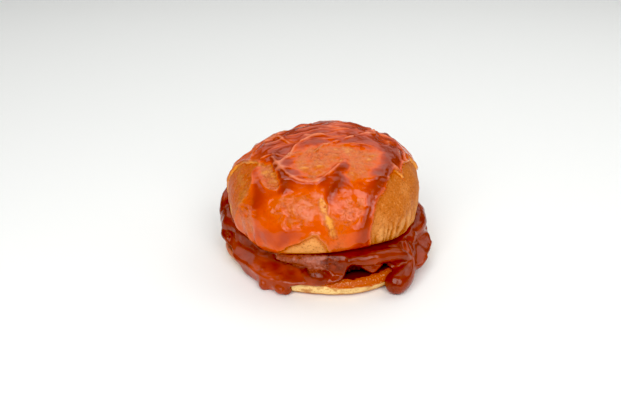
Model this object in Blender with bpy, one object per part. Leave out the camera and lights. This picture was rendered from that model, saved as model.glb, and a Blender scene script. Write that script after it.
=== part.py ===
"""Wet burger: a thin beef patty in a steamed bun, soaked and draped in thick tomato sauce.

Four solids rest on each other, with a small gap between them: the heel of the bun, the patty, the
sauce layer that runs over the patty and hangs down its sides in lobes and drips, and the domed
crown of the bun with the sauce runs that lie on it. The frame's origin is the middle of the heel's
flat underside, +Z is up and the burger's front faces -Y. Sizes below are millimetres and degrees;
an azimuth is 0 at the front and grows towards +X.
"""

import math

import bmesh
import bpy
from mathutils import Vector, noise

MM = 0.001  # scene units are metres
GAP = 0.4  # air left between two solids that lie on each other
RIM_GAP = 0.8  # air left where the sauce hangs over the heel's edge
TURN_STEP = 4  # degrees from one section of a solid to the next
CLOSE_TURNS = (34, 35, 37, 38, 39, 41, 42, 46)  # more sections, where the front right drip starts steeply

HEEL_RADIUS = 47.6
HEEL_HEIGHT = 8.2
PATTY_RADIUS = 43.4
PATTY_BOTTOM = HEEL_HEIGHT + GAP
PATTY_TOP = 17.4
CROWN_SEAT = 19.6  # height of the crown's flat underside
CROWN_EDGE = 19.5  # height of the lip round the underside
CROWN_RADIUS = 45.0
CROWN_OFFSET = 1.25  # the dome sits this far towards -X
CROWN_WIDEST = 27.6  # height of the dome's widest ring
CROWN_TOP = 54.6
CROWN_LIP = 4.0  # width of the rounding under the widest ring
CROWN_LEAN = 4.4  # the dome's top leans this far towards +X
LUMP_DEPTH = 0.75  # soft dents in the steamed crust
LUMP_SIZE = 15.0
PLEAT_DEPTH = 0.45  # small upright wrinkles above the lip
PLEAT_COUNT = 34

SAUCE_FILM = 1.0  # sauce on the patty where it is thinnest
COAT_DEPTH = 0.95  # sauce sheet on the crown
BEAD_DEPTH = 0.75  # extra depth of the sheet's rounded edge
BEAD_WIDTH = 2.2
CAP_HEIGHT = 49.5  # the sheet covers all of the dome above this
HEM_ROUNDING = 3.2  # height of the rounded lower edge of the draped sauce
SHOULDER = 5.0  # height of the rounded upper edge of the draped sauce
SHOULDER_SHARE = 0.45  # the most of the drape's own height that this edge takes
LOBE_RISE = 1.3  # a fat lobe swells this far above the crown's lip
PLATE = 13  # number of the backing point on the plate, see sauce_backing

# Where the crown's lip hangs lower over the patty: azimuth, spread, droop, and how far the patty draws back.
DROOPS = (
    (-40.0, 25.0, 4.6, 5.8),
    (58.0, 20.0, 3.4, 4.6),
)
# Where the heel bulges, or draws in: azimuth, spread, how far.
HEEL_SWELLS = (
    (28.0, 26.0, 1.7),
    (-74.0, 15.0, 1.6),
    (-51.0, 14.0, -1.4),
)
# Sauce runs down the dome: half-width, then stations of (azimuth, height) from the cap downwards.
RUNS = (
    (9.5, ((-62, 46), (-49, 40), (-45, 30), (-42, 20))),
    (9.0, ((-34, 47), (-28, 38), (-28, 29), (-33, 19))),
    (9.0, ((-8, 47), (-6, 38.5))),
    (8.5, ((8, 47), (13, 38), (14, 29), (13, 19))),
    (5.0, ((66, 49), (42, 46), (31, 42.5), (20, 38))),
    (3.2, ((76, 50), (66, 46.5), (63, 44.0))),
    (5.0, ((100, 49), (103, 39))),
    (6.0, ((124, 49), (127, 32), (128, 19))),
    (5.0, ((152, 49), (150, 37))),
    (7.0, ((178, 49), (176, 33), (178, 25))),
    (8.0, ((206, 49), (207, 34), (204, 19))),
    (5.0, ((232, 49), (234, 40))),
    (3.6, ((258, 49), (263, 36), (265, 27))),
)
# Places that the sheet left almost bare: half-width, depth taken away, stations.
THIN_SPOTS = (
    (1.5, 1.5, ((-5, 44), (0, 39), (4.5, 31))),
    (2.2, 1.2, ((-62, 48), (-50, 47), (-38, 45))),
    (5.0, 0.5, ((-42, 51), (-20, 50.5), (0, 51))),
    (5.0, 0.5, ((20, 50), (38, 49))),
)
# The draped sauce: azimuth, backing point that its lower edge reaches, bulge over the film.
DRAPE = (
    (-100, 8.8, 4.6),
    (-88, 9.1, 5.4),
    (-79, 9.0, 4.6),
    (-72, 9.0, 2.6),
    (-66, 9.0, 2.4),
    (-62, 9.5, 1.6),
    (-52, 13.0, 1.0),
    (-46, 14.0, 1.0),
    (-26, 14.0, 1.0),
    (-22, 13.0, 0.8),
    (-18, 10.8, 0.6),
    (-13, 9.6, 0.5),
    (-4, 10.0, 0.5),
    (3, 10.4, 0.5),
    (6, 10.0, 0.6),
    (9, 8.6, 0.8),
    (13, 6.0, 1.1),
    (18, 5.2, 1.4),
    (25, 6.6, 1.7),
    (30, 5.8, 1.7),
    (34, 6.4, 1.9),
    (40, 14.0, 3.0),
    (56, 14.0, 3.6),
    (66, 11.4, 4.4),
    (76, 9.5, 4.8),
    (86, 9.0, 4.2),
    (98, 9.4, 2.4),
    (108, 9.2, 3.2),
    (120, 14.0, 4.2),
    (133, 14.0, 3.4),
    (145, 9.2, 1.6),
    (153, 7.4, 1.4),
    (162, 9.6, 3.0),
    (173, 14.0, 4.4),
    (181, 14.0, 3.0),
    (193, 9.2, 1.4),
    (206, 9.2, 2.4),
    (218, 14.0, 3.8),
    (229, 14.0, 3.2),
    (241, 9.2, 1.8),
    (252, 9.0, 3.4),
)
# Folds that stand up on the drape: height, half-width, stations of (azimuth, height).
FOLDS = (
    (2.0, 2.8, ((12, 17.5), (24, 18), (34, 17.5), (41, 16), (46, 12.5), (47, 10))),
    (1.8, 2.2, ((65, 17), (64, 12), (58, 8), (53, 5.5))),
    (0.8, 2.4, ((82, 18), (79, 12), (74, 7))),
    (1.0, 2.4, ((-60, 13), (-45, 9), (-30, 5.5), (-23, 2))),
    (1.6, 2.2, ((-92, 17), (-82, 13), (-74, 15))),
    (1.8, 2.4, ((104, 18), (114, 12), (124, 6))),
    (1.8, 2.4, ((190, 17), (183, 10), (176, 5))),
    (1.6, 2.2, ((212, 17), (218, 10), (224, 5))),
)
# Drips that stand on the plate: azimuth, half-width in degrees, reach beyond the drape, top height.
DRIPS = (
    (-35, 5.5, 1.4, 6.0),
    (-24, 4.5, 1.2, 6.0),
    (43, 8.0, 3.4, 7.5),
    (126, 7.0, 2.4, 7.0),
    (177, 6.5, 3.2, 7.0),
    (224, 6.5, 2.2, 6.0),
)

BUN_COLOUR = (0.60, 0.24, 0.06)
CRUMB_COLOUR = (0.80, 0.47, 0.17)
MEAT_COLOUR = (0.060, 0.012, 0.006)
SAUCE_COLOUR = (0.42, 0.045, 0.006)


def ease(value, low, high):
    """0 below low, 1 above high and a smooth step between them."""
    share = min(1.0, max(0.0, (value - low) / (high - low)))
    return share * share * (3.0 - 2.0 * share)


def turn_between(azimuth, centre):
    """Signed angle from centre to azimuth, from -180 to 180 degrees."""
    return (azimuth - centre + 180.0) % 360.0 - 180.0


def bell(azimuth, centre, spread):
    """A bell curve round the burger, 1 at its centre."""
    return math.exp(-((turn_between(azimuth, centre) / spread) ** 2))


def plateau(azimuth, centre, spread):
    """A broad bump round the burger with a flat middle and round sides, 1 at its centre."""
    return math.exp(-((turn_between(azimuth, centre) / spread) ** 4))


def wobble(azimuth, waves, seed):
    """Smooth closed unevenness round the burger, from about -1 to 1."""
    angle = math.radians(azimuth)
    return 1.6 * noise.noise(Vector((waves * math.cos(angle), waves * math.sin(angle), seed)))


def place(azimuth, radius, height):
    """The point at an azimuth, a distance from the burger's axis and a height."""
    angle = math.radians(azimuth)
    return Vector((radius * math.sin(angle), -radius * math.cos(angle), height))


def follow(stations, azimuth):
    """The values of a table of stations at an azimuth, in straight steps from one to the next."""
    count = len(stations)
    for number in range(count):
        here, after = stations[number], stations[(number + 1) % count]
        span = (after[0] - here[0]) % 360.0
        along = (azimuth - here[0]) % 360.0
        if along <= span:
            share = along / span
            return [a + (b - a) * share for a, b in zip(here[1:], after[1:])]
    raise ValueError("the stations don't close round the burger")


def heel_radius(azimuth):
    swell = sum(rise * bell(azimuth, centre, spread) for centre, spread, rise in HEEL_SWELLS)
    return HEEL_RADIUS + swell + 0.5 * wobble(azimuth, 2.2, 3.1)


def patty_radius(azimuth):
    crags = 0.9 * wobble(azimuth, 2.4, 7.7) + 0.35 * wobble(azimuth, 9.0, 1.9)
    drawn_back = sum(back * bell(azimuth, centre, spread) for centre, spread, _, back in DROOPS)
    return PATTY_RADIUS - drawn_back + crags


def crown_edge(azimuth):
    """Height of the crown's lip."""
    droop = sum(depth * bell(azimuth, centre, spread) for centre, spread, depth, _ in DROOPS)
    return CROWN_EDGE - droop + 0.4 * wobble(azimuth, 2.6, 5.5)


def crown_radius(azimuth):
    """Radius of the dome's widest ring."""
    shift = CROWN_OFFSET * math.sin(math.radians(azimuth))
    return CROWN_RADIUS - shift + 0.5 * wobble(azimuth, 1.8, 9.2)


def lip_radius(azimuth):
    return crown_radius(azimuth) - CROWN_LIP


def crown_underside(azimuth):
    """(radius, height) from the middle of the crown's cut face out to its lip."""
    lip, edge = lip_radius(azimuth), crown_edge(azimuth)
    shares = (0.0, 0.49, 0.85, 0.92, 0.965, 1.0)
    return [(share * lip, CROWN_SEAT + (edge - CROWN_SEAT) * ease(share, 0.86, 1.0)) for share in shares]


def dome_point(azimuth, tilt):
    """The bare dome: tilt is 0 at its top, 90 at its widest ring and 180 under the lip."""
    angle = math.radians(tilt)
    wide = crown_radius(azimuth)
    if tilt <= 90.0:
        rise = math.cos(angle)
        point = place(azimuth, wide * math.sin(angle), CROWN_WIDEST + (CROWN_TOP - CROWN_WIDEST) * rise)
        point.x += CROWN_LEAN * rise**1.5
        return point
    radius = wide - CROWN_LIP + CROWN_LIP * math.sin(angle)
    return place(azimuth, radius, CROWN_WIDEST + (CROWN_WIDEST - crown_edge(azimuth)) * math.cos(angle))


def dome_station(azimuth, height):
    """The bare dome's point at an azimuth and a height."""
    if height >= CROWN_WIDEST:
        share = min(1.0, (height - CROWN_WIDEST) / (CROWN_TOP - CROWN_WIDEST))
        return dome_point(azimuth, math.degrees(math.acos(share)))
    share = min(1.0, (CROWN_WIDEST - height) / (CROWN_WIDEST - crown_edge(azimuth)))
    return dome_point(azimuth, 180.0 - math.degrees(math.acos(share)))


def distance_to(point, path):
    """Distance from a point to a chain of straight stretches."""
    nearest = 1e9
    for start, end in zip(path, path[1:]):
        along = end - start
        share = min(1.0, max(0.0, (point - start).dot(along) / along.length_squared))
        nearest = min(nearest, (point - start - along * share).length)
    return nearest


# The tables' stations as points in space, for distance_to.
RUN_PATHS = [(width, [dome_station(*stop) for stop in stops]) for width, stops in RUNS]
THIN_PATHS = [(width, depth, [dome_station(*stop) for stop in stops]) for width, depth, stops in THIN_SPOTS]
FOLD_PATHS = [(rise, width, [place(az, HEEL_RADIUS, z) for az, z in stops]) for rise, width, stops in FOLDS]


def sheet_reach(point):
    """How far inside the edge of the crown's sauce sheet a point lies, negative outside it."""
    cap = 1.25 * (point.z - CAP_HEIGHT)
    inside = [width - distance_to(point, path) for width, path in RUN_PATHS]
    ragged = 1.4 * noise.noise(point / 6.0)
    return max(cap, *inside) + ragged


def coat_depth(point):
    """Depth of the sauce on the dome at a point of it."""
    reach = sheet_reach(point)
    coat = COAT_DEPTH * ease(reach, -0.6, 1.0)
    bead = BEAD_DEPTH * math.exp(-(((reach - BEAD_WIDTH / 2) / BEAD_WIDTH) ** 2)) * ease(reach, -0.8, 0.4)
    wrinkle = 0.5 * ease(point.z, 44.0, 51.0) * noise.noise(Vector((point.x / 9, point.y / 3.5, point.z / 4)))
    thin = sum(
        depth * (1.0 - ease(distance_to(point, path), 0.4 * width, 1.3 * width))
        for width, depth, path in THIN_PATHS
    )
    return max(0.0, coat + bead + wrinkle * ease(reach, 0.0, 2.0) - thin)


def crust(azimuth, tilt):
    """The crown's outer surface with its dents and pleats, and with the sauce that lies on it."""
    point = dome_point(azimuth, tilt)
    outward = (point - Vector((0.0, 0.0, CROWN_WIDEST - 6.0))).normalized()
    clear_of_lip = ease(point.z, crown_edge(azimuth) + 0.3, crown_edge(azimuth) + 4.0)
    dents = LUMP_DEPTH * noise.fractal(point / LUMP_SIZE, 1.0, 2.0, 3)
    pleats = PLEAT_DEPTH * math.sin(math.radians(azimuth) * PLEAT_COUNT + 3.0 * wobble(azimuth, 3.0, 2.2))
    pleats *= 1.0 - ease(point.z, CROWN_EDGE + 2.0, CROWN_EDGE + 10.0)
    return point + outward * clear_of_lip * (dents + pleats + coat_depth(point))


def sauce_backing(azimuth):
    """(radius, height) of what the draped sauce lies against, from the patty's top to the plate.

    Points 1 to 7 lie on the patty, 8 to 12 on the heel, 13 on the plate under the heel's edge.
    """
    patty, heel = patty_radius(azimuth) + GAP, heel_radius(azimuth) + RIM_GAP
    top, shelf = PATTY_TOP + GAP, HEEL_HEIGHT + GAP
    return [
        (0.0, top),
        (0.45 * patty, top),
        (patty - 7.0, top),
        (patty - 2.6, top - 0.5),
        (patty - 0.7, top - 2.3),
        (patty, PATTY_TOP - 4.4),
        (patty, 11.0),
        (patty, shelf + 0.3),
        (max(patty + 0.4, heel - 4.6), shelf),
        (max(patty + 1.2, heel - 1.9), shelf - 0.8),
        (heel - 0.4, 6.2),
        (heel, 4.2),
        (heel - 0.2, 2.2),
        (heel - 0.5, 0.0),
    ]


def drape_radius(azimuth, height, bulge):
    """Outer radius of the draped sauce at a height, before its edges are rounded."""
    patty, heel = patty_radius(azimuth) + GAP, heel_radius(azimuth) + RIM_GAP
    backing = heel + (patty - heel) * ease(height, 6.5, 10.5)
    swell = bulge * (0.15 + 0.85 * ease(height, 2.0, 10.0))
    point = place(azimuth, HEEL_RADIUS, height)
    folds = sum(
        rise * math.exp(-((distance_to(point, path) / width) ** 2)) for rise, width, path in FOLD_PATHS
    )
    drips = sum(
        reach * plateau(azimuth, centre, spread) * (1.0 - ease(height, 0.35 * top, top))
        for centre, spread, reach, top in DRIPS
    )
    uneven = 0.35 * wobble(azimuth, 6.0, height / 7.0) + 0.15 * bulge * wobble(azimuth, 3.0, height / 9.0)
    return backing + SAUCE_FILM + swell + folds + drips + uneven


def hem_point(azimuth, reach, bulge):
    """(radius, height) of the drape's lower edge. Past the plate's number it stands on the plate."""
    backing = sauce_backing(azimuth)
    if reach >= PLATE:
        foot = max(backing[PLATE][0] + 0.3, drape_radius(azimuth, 0.0, bulge) - 1.0)
        share = reach - PLATE
        return backing[PLATE][0] + (foot - backing[PLATE][0]) * share, 0.0
    number = int(reach)
    share = reach - number
    return tuple(a + (b - a) * share for a, b in zip(backing[number], backing[number + 1]))


def drape_section(azimuth, outer_points=11):
    """(radius, height) once round the sauce layer's section: top, outer face, hem, back to the axis."""
    reach, bulge = follow(DRAPE, azimuth)
    top = [(radius, height - GAP) for radius, height in crown_underside(azimuth)]
    lip_height = top[-1][1]
    hem_radius, hem_height = hem_point(azimuth, reach, bulge)
    rounding = min(HEM_ROUNDING, 0.45 * (lip_height - hem_height))

    outer = []
    drop = min(SHOULDER, SHOULDER_SHARE * (lip_height - hem_height))
    start = lip_height - drop
    for step in range(outer_points):
        height = start + (hem_height - start) * step / (outer_points - 1)
        full = drape_radius(azimuth, height, bulge)
        depth = min(1.0, max(0.0, 1.0 - (height - hem_height) / rounding))
        outer.append((hem_radius + (full - hem_radius) * math.sqrt(1.0 - depth * depth), height))

    # The shoulder is a quarter of an ellipse, from the crown's lip out and down to the outer face.
    wide, lip = outer[0][0], top[-1][0]
    crest = lip + 0.35 * (wide - lip)
    rise = LOBE_RISE * ease(wide, 47.5, 51.0) + 0.35 * wobble(azimuth, 5.0, 6.1)
    for turn in (25.0, 60.0):
        angle = math.radians(turn)
        height = start + (drop + rise) * math.cos(angle)
        top.append((crest + (wide - crest) * math.sin(angle), height))

    backing = sauce_backing(azimuth)
    back = [point if number <= reach else (hem_radius, hem_height) for number, point in enumerate(backing)]
    return top + outer + back[::-1]


def patty_section(azimuth):
    """(radius, height) of the patty's section, from the middle of its top to that of its foot."""
    wide = patty_radius(azimuth)
    notch = 0.8 * max(0.0, wobble(azimuth, 12.0, 4.4))
    return [
        (0.0, PATTY_TOP),
        (0.45 * wide, PATTY_TOP),
        (wide - 7.0, PATTY_TOP),
        (wide - 2.7, PATTY_TOP - 0.6),
        (wide - 0.8, PATTY_TOP - 2.4),
        (wide, PATTY_TOP - 4.4),
        (wide - notch, 11.4),
        (wide - 0.5, 9.8),
        (wide - 2.0, PATTY_BOTTOM),
        (0.6 * wide, PATTY_BOTTOM),
        (0.0, PATTY_BOTTOM),
    ]


def heel_section(azimuth):
    """(radius, height) of the heel's section, from the middle of its top to that of its foot."""
    wide = heel_radius(azimuth)
    return [
        (0.0, HEEL_HEIGHT),
        (0.6 * wide, HEEL_HEIGHT),
        (wide - 4.8, HEEL_HEIGHT),
        (wide - 2.1, HEEL_HEIGHT - 0.8),
        (wide - 0.5, 6.0),
        (wide, 4.2),
        (wide - 0.3, 2.2),
        (wide - 1.4, 0.7),
        (wide - 3.0, 0.0),
        (0.5 * wide, 0.0),
        (0.0, 0.0),
    ]


def from_section(section):
    """A function from azimuth to the points of a section that stands at it."""
    return lambda azimuth: [place(azimuth, radius, height) for radius, height in section(azimuth)]


def crown_points(azimuth):
    """Points from the crown's top, down its crust, round the lip and in to its underside's middle."""
    tilts = [5.6 * step for step in range(1, 17)] + [98, 108, 120, 133, 148, 164]
    crest = dome_point(0.0, 0.0)
    crust_points = [crest + Vector((0, 0, coat_depth(crest)))] + [crust(azimuth, tilt) for tilt in tilts]
    underside = [place(azimuth, *point) for point in crown_underside(azimuth)]
    return crust_points + underside[::-1]


def loft(name, points_at, material):
    """A closed solid through one line of points at each azimuth, each from the axis to the axis."""
    lines = [points_at(float(turn)) for turn in sorted({*range(0, 360, TURN_STEP), *CLOSE_TURNS})]
    mesh = bpy.data.meshes.new(name)
    shape = bmesh.new()
    grid = [[shape.verts.new(point * MM) for point in line] for line in lines]
    for line, after in zip(grid, grid[1:] + grid[:1]):
        for row in range(len(line) - 1):
            shape.faces.new((line[row], line[row + 1], after[row + 1], after[row]))
    # The poles, and the points that a hem gathers, fall together here.
    bmesh.ops.remove_doubles(shape, verts=shape.verts, dist=0.002 * MM)
    bmesh.ops.recalc_face_normals(shape, faces=shape.faces)
    shape.to_mesh(mesh)
    shape.free()
    mesh.shade_smooth()
    mesh.materials.append(material)
    node = bpy.data.objects.new(name, mesh)
    bpy.context.scene.collection.objects.link(node)
    return node


def finish(name, colour, roughness):
    """A plain food material."""
    material = bpy.data.materials.new(name)
    material.use_nodes = True
    shader = material.node_tree.nodes["Principled BSDF"]
    shader.inputs["Base Color"].default_value = (*colour, 1.0)
    shader.inputs["Roughness"].default_value = roughness
    shader.inputs["Metallic"].default_value = 0.0
    return material


def main():
    for old in list(bpy.data.objects):
        bpy.data.objects.remove(old)
    loft("bun_heel", from_section(heel_section), finish("bread_crumb", CRUMB_COLOUR, 0.8))
    loft("patty", from_section(patty_section), finish("beef", MEAT_COLOUR, 0.5))
    loft("sauce_layer", from_section(drape_section), finish("tomato_sauce", SAUCE_COLOUR, 0.25))
    loft("bun_crown", crown_points, finish("bread_crust", BUN_COLOUR, 0.45))


main()
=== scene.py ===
"""Wet burger: the looks of a hamburger soaked and draped in tomato sauce, built round its solids.

Five pieces stand for the four solids: the bread of the crown and the sauce sheet that lies on it, the
sauce that is draped over the patty and hangs down round it, the patty, and the heel of the bun.

Lengths are millimetres and angles degrees, unless a name says otherwise. An azimuth is 0 at the front
(-Y) and grows towards +X. A tilt is 0 at the dome's top, 90 at its widest ring and 180 under its lip.
"""

import logging
import math
from dataclasses import dataclass
from enum import Enum

import bpy
import numpy as np
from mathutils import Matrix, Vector, noise

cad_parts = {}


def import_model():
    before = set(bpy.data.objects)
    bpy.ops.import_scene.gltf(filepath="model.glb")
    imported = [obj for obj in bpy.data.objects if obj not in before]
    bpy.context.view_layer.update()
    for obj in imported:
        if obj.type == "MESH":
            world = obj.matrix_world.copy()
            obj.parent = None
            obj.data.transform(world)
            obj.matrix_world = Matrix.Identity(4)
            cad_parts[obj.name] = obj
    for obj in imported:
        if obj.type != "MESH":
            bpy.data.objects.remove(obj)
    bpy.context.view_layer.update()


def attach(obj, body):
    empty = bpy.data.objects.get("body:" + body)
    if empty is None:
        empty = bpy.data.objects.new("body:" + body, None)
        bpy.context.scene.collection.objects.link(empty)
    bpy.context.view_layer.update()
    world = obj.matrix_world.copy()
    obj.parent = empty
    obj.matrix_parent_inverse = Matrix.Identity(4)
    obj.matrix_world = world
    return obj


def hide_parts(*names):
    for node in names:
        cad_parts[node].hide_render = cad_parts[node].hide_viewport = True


MM = 0.001  # scene units are metres
MERGE = 0.004  # points nearer to each other than this are one
LOG = logging.getLogger("wet_burger")

Stations = tuple[tuple[float, ...], ...]
Tone = tuple[int, int, int]  # a colour by its screen values, 0 to 255


# ---------------------------------------------------------------- numbers on and round the burger


def ease(value: np.ndarray, low: float, high: float) -> np.ndarray:
    """A smooth step.

    Args:
        value: what is eased.
        low: where the step starts.
        high: where it ends.

    Returns:
        0 below low, 1 above high.
    """
    share = np.clip((value - low) / (high - low), 0.0, 1.0)
    return share * share * (3.0 - 2.0 * share)


def turn_between(azimuth: np.ndarray, centre: float) -> np.ndarray:
    """Signed angle from centre to azimuth, from -180 to 180."""
    return (azimuth - centre + 180.0) % 360.0 - 180.0


def bell(azimuth: np.ndarray, centre: float, spread: float) -> np.ndarray:
    """A bell curve round the burger, 1 at its centre."""
    return np.exp(-((turn_between(azimuth, centre) / spread) ** 2))


def plateau(azimuth: np.ndarray, centre: float, spread: float) -> np.ndarray:
    """A broad bump round the burger with a flat middle."""
    return np.exp(-((turn_between(azimuth, centre) / spread) ** 4))


def wobble(azimuth: np.ndarray, waves: float, seed: float) -> np.ndarray:
    """Smooth closed unevenness round the burger.

    Args:
        azimuth: where it is wanted.
        waves: how fast it changes.
        seed: which unevenness.

    Returns:
        Values from about -1 to 1.
    """
    table = np.arange(0.0, 361.0)
    turns = np.radians(table)
    values = [1.6 * noise.noise(Vector((waves * math.cos(t), waves * math.sin(t), seed))) for t in turns]
    return np.interp(np.asarray(azimuth) % 360.0, table, values)


def clumps(
    points: np.ndarray, size: float | tuple[float, ...], octaves: int = 1, seed: float = 0.0
) -> np.ndarray:
    """Solid noise at points.

    Args:
        points: N by 3, in mm.
        size: the size of a clump, one number or one for each axis.
        octaves: how many finer layers it has.
        seed: moves the pattern.

    Returns:
        N values from about -1 to 1.
    """
    places = points / np.asarray(size) + seed
    if octaves == 1:
        return np.array([noise.noise(Vector(place)) for place in places])
    return np.array([noise.fractal(Vector(place), 1.0, 2.0, octaves) for place in places])


def place(azimuth: np.ndarray, radius: np.ndarray, height: np.ndarray) -> np.ndarray:
    """Points at azimuths, distances from the burger's axis and heights."""
    turn = np.radians(azimuth)
    return np.stack(np.broadcast_arrays(radius * np.sin(turn), -radius * np.cos(turn), height), axis=-1)


def distance_to(points: np.ndarray, path: np.ndarray) -> np.ndarray:
    """Distance from points to a chain of straight stretches.

    Args:
        points: N by 3.
        path: the chain's corners, M by 3.

    Returns:
        N distances.
    """
    nearest = np.full(len(points), np.inf)
    for start, end in zip(path, path[1:]):
        along = end - start
        share = np.clip((points - start) @ along / max(along @ along, 1e-9), 0.0, 1.0)
        nearest = np.minimum(nearest, np.linalg.norm(points - start - share[:, None] * along, axis=1))
    return nearest


def curve_through(stations: np.ndarray, steps: int, closed: bool) -> np.ndarray:
    """A smooth line through stations.

    Args:
        stations: N by K values.
        steps: how many points each stretch gets.
        closed: whether the line comes back to its start.

    Returns:
        The line's points, with the same K values each.
    """
    count = len(stations)
    stretches = count if closed else count - 1
    shares = np.arange(steps)[:, None] / steps
    line = []
    for number in range(stretches):
        before, here, after, beyond = (
            stations[step % count] if closed else stations[min(max(step, 0), count - 1)]
            for step in range(number - 1, number + 3)
        )
        line.append(
            0.5
            * (
                2.0 * here
                + (after - before) * shares
                + (2.0 * before - 5.0 * here + 4.0 * after - beyond) * shares**2
                + (3.0 * here - before - 3.0 * after + beyond) * shares**3
            )
        )
    line.append(stations[:1] if closed else stations[-1:])
    return np.vstack(line)


def shade(red: int, green: int, blue: int) -> tuple[float, float, float, float]:
    """A colour as the linear values that a shader wants.

    Args:
        red: its screen value, 0 to 255.
        green: the same for green.
        blue: the same for blue.

    Returns:
        Red, green, blue and full alpha.
    """
    screen = np.array((red, green, blue)) / 255.0
    linear = np.where(screen <= 0.04045, screen / 12.92, ((screen + 0.055) / 1.055) ** 2.4)
    return (*(float(value) for value in linear), 1.0)


# ---------------------------------------------------------------- meshes


def read_points(piece: bpy.types.Object) -> np.ndarray:
    """Reads a mesh piece's points.

    Args:
        piece: the piece.

    Returns:
        Its points in mm, N by 3.
    """
    flat = np.empty(3 * len(piece.data.vertices))
    piece.data.vertices.foreach_get("co", flat)
    return flat.reshape(-1, 3) / MM


def write_points(piece: bpy.types.Object, points: np.ndarray) -> None:
    """Moves a mesh piece's points, given in mm."""
    piece.data.vertices.foreach_set("co", (points * MM).astype(np.float32).ravel())
    piece.data.update()


def read_normals(piece: bpy.types.Object) -> np.ndarray:
    """Reads the way out of a mesh piece at its points.

    Args:
        piece: the piece.

    Returns:
        Its point normals, N by 3.
    """
    flat = np.empty(3 * len(piece.data.vertices))
    piece.data.vertex_normals.foreach_get("vector", flat)
    return flat.reshape(-1, 3)


def paint(piece: bpy.types.Object, name: str, values: np.ndarray) -> None:
    """Keeps one number for each point of a piece, for its material to read."""
    layer = piece.data.attributes.new(name, "FLOAT", "POINT")
    layer.data.foreach_set("value", values.astype(np.float32))


def cylinder_places(points: np.ndarray) -> tuple[np.ndarray, np.ndarray, np.ndarray]:
    """(azimuth, radius, height) of points."""
    return (
        np.degrees(np.arctan2(points[:, 0], -points[:, 1])),
        np.hypot(points[:, 0], points[:, 1]),
        points[:, 2],
    )


def start_piece(name: str) -> bpy.types.Object:
    """Names the primitive that was just added, and its mesh.

    Args:
        name: the name.

    Returns:
        The piece.
    """
    piece = bpy.context.object
    piece.name = piece.data.name = name
    return piece


def apply_modifier(piece: bpy.types.Object, kind: str, **settings: object) -> None:
    """Adds a modifier to a piece and applies it.

    Args:
        piece: the piece.
        kind: the modifier's type.
        settings: its values.
    """
    bpy.ops.object.select_all(action="DESELECT")
    piece.select_set(True)
    bpy.context.view_layer.objects.active = piece
    modifier = piece.modifiers.new(kind.lower(), kind)
    for name, value in settings.items():
        setattr(modifier, name, value)
    bpy.ops.object.modifier_apply(modifier=modifier.name)


def edit(piece: bpy.types.Object, *steps: tuple) -> None:
    """Runs edit mode operators on all of a piece.

    Args:
        piece: the piece.
        steps: pairs of an operator of bpy.ops.mesh and its settings.
    """
    bpy.ops.object.select_all(action="DESELECT")
    piece.select_set(True)
    bpy.context.view_layer.objects.active = piece
    bpy.ops.object.mode_set(mode="EDIT")
    for operator, settings in steps:
        bpy.ops.mesh.select_all(action="SELECT")
        operator(**settings)
    bpy.ops.object.mode_set(mode="OBJECT")


def add_ball(name: str, cuts: tuple[int, int]) -> tuple[bpy.types.Object, np.ndarray, np.ndarray]:
    """A ball of even four-sided faces, made from a cube, for a round piece to be shaped from.

    Args:
        name: the piece's name.
        cuts: how often the cube's edges are cut, in two goes.

    Returns:
        The piece, and for each of its points its azimuth and its angle from the top.
    """
    bpy.ops.mesh.primitive_cube_add(size=2.0)
    piece = start_piece(name)
    edit(piece, *((bpy.ops.mesh.subdivide, {"number_cuts": number}) for number in cuts))
    corners = np.tan(read_points(piece) * MM * math.pi / 4.0)
    corners /= np.linalg.norm(corners, axis=1)[:, None]
    polar = np.degrees(np.arccos(np.clip(corners[:, 2], -1.0, 1.0)))
    return piece, np.degrees(np.arctan2(corners[:, 0], -corners[:, 1])), polar


def add_wrap(name: str, sections: np.ndarray) -> bpy.types.Object:
    """A closed piece round the burger's axis, from a grid whose rows are moved onto its sections.

    Args:
        name: the piece's name.
        sections: turns by points by 3, each section running from the axis back to the axis.

    Returns:
        The piece.
    """
    turns, rows = sections.shape[:2]
    bpy.ops.mesh.primitive_grid_add(x_subdivisions=turns, y_subdivisions=rows - 1, size=2.0)
    piece = start_piece(name)
    flat = read_points(piece) * MM
    column = np.rint((flat[:, 0] + 1.0) / 2.0 * turns).astype(int) % turns
    row = np.rint((flat[:, 1] + 1.0) / 2.0 * (rows - 1)).astype(int)
    write_points(piece, sections[column, row])
    edit(
        piece,
        (bpy.ops.mesh.remove_doubles, {"threshold": MERGE * MM}),
        (bpy.ops.mesh.normals_make_consistent, {"inside": False}),
    )
    return piece


def add_strand(name: str, stations: Stations) -> bpy.types.Object:
    """A round strand of sauce, fat and thin along its way.

    Args:
        name: the piece's name.
        stations: (azimuth, distance from the axis, height, half-width) along it.

    Returns:
        The strand as a mesh.
    """
    line = curve_through(np.array(stations, float), 6, closed=False)
    centres = place(line[:, 0], line[:, 1], line[:, 2])
    bpy.ops.curve.primitive_nurbs_path_add()
    strand = bpy.context.object
    strand.name = name
    curve = strand.data
    curve.splines.clear()
    spline = curve.splines.new("POLY")
    spline.points.add(len(centres) - 1)
    for point, centre, half in zip(spline.points, centres, line[:, 3]):
        point.co = (*(centre * MM), 1.0)
        point.radius = max(half, 0.05)
    curve.dimensions = "3D"
    curve.bevel_depth = MM
    curve.bevel_resolution = 4
    curve.use_fill_caps = True
    bpy.ops.object.convert(target="MESH")
    for end in (0, -1):
        bpy.ops.mesh.primitive_uv_sphere_add(
            segments=24, ring_count=14, radius=line[end, 3] * MM, location=centres[end] * MM
        )
        cap = bpy.context.object
        strand.select_set(True)
        bpy.context.view_layer.objects.active = strand
        cap.select_set(True)
        bpy.ops.object.join()
    return strand


# ---------------------------------------------------------------- materials


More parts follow.
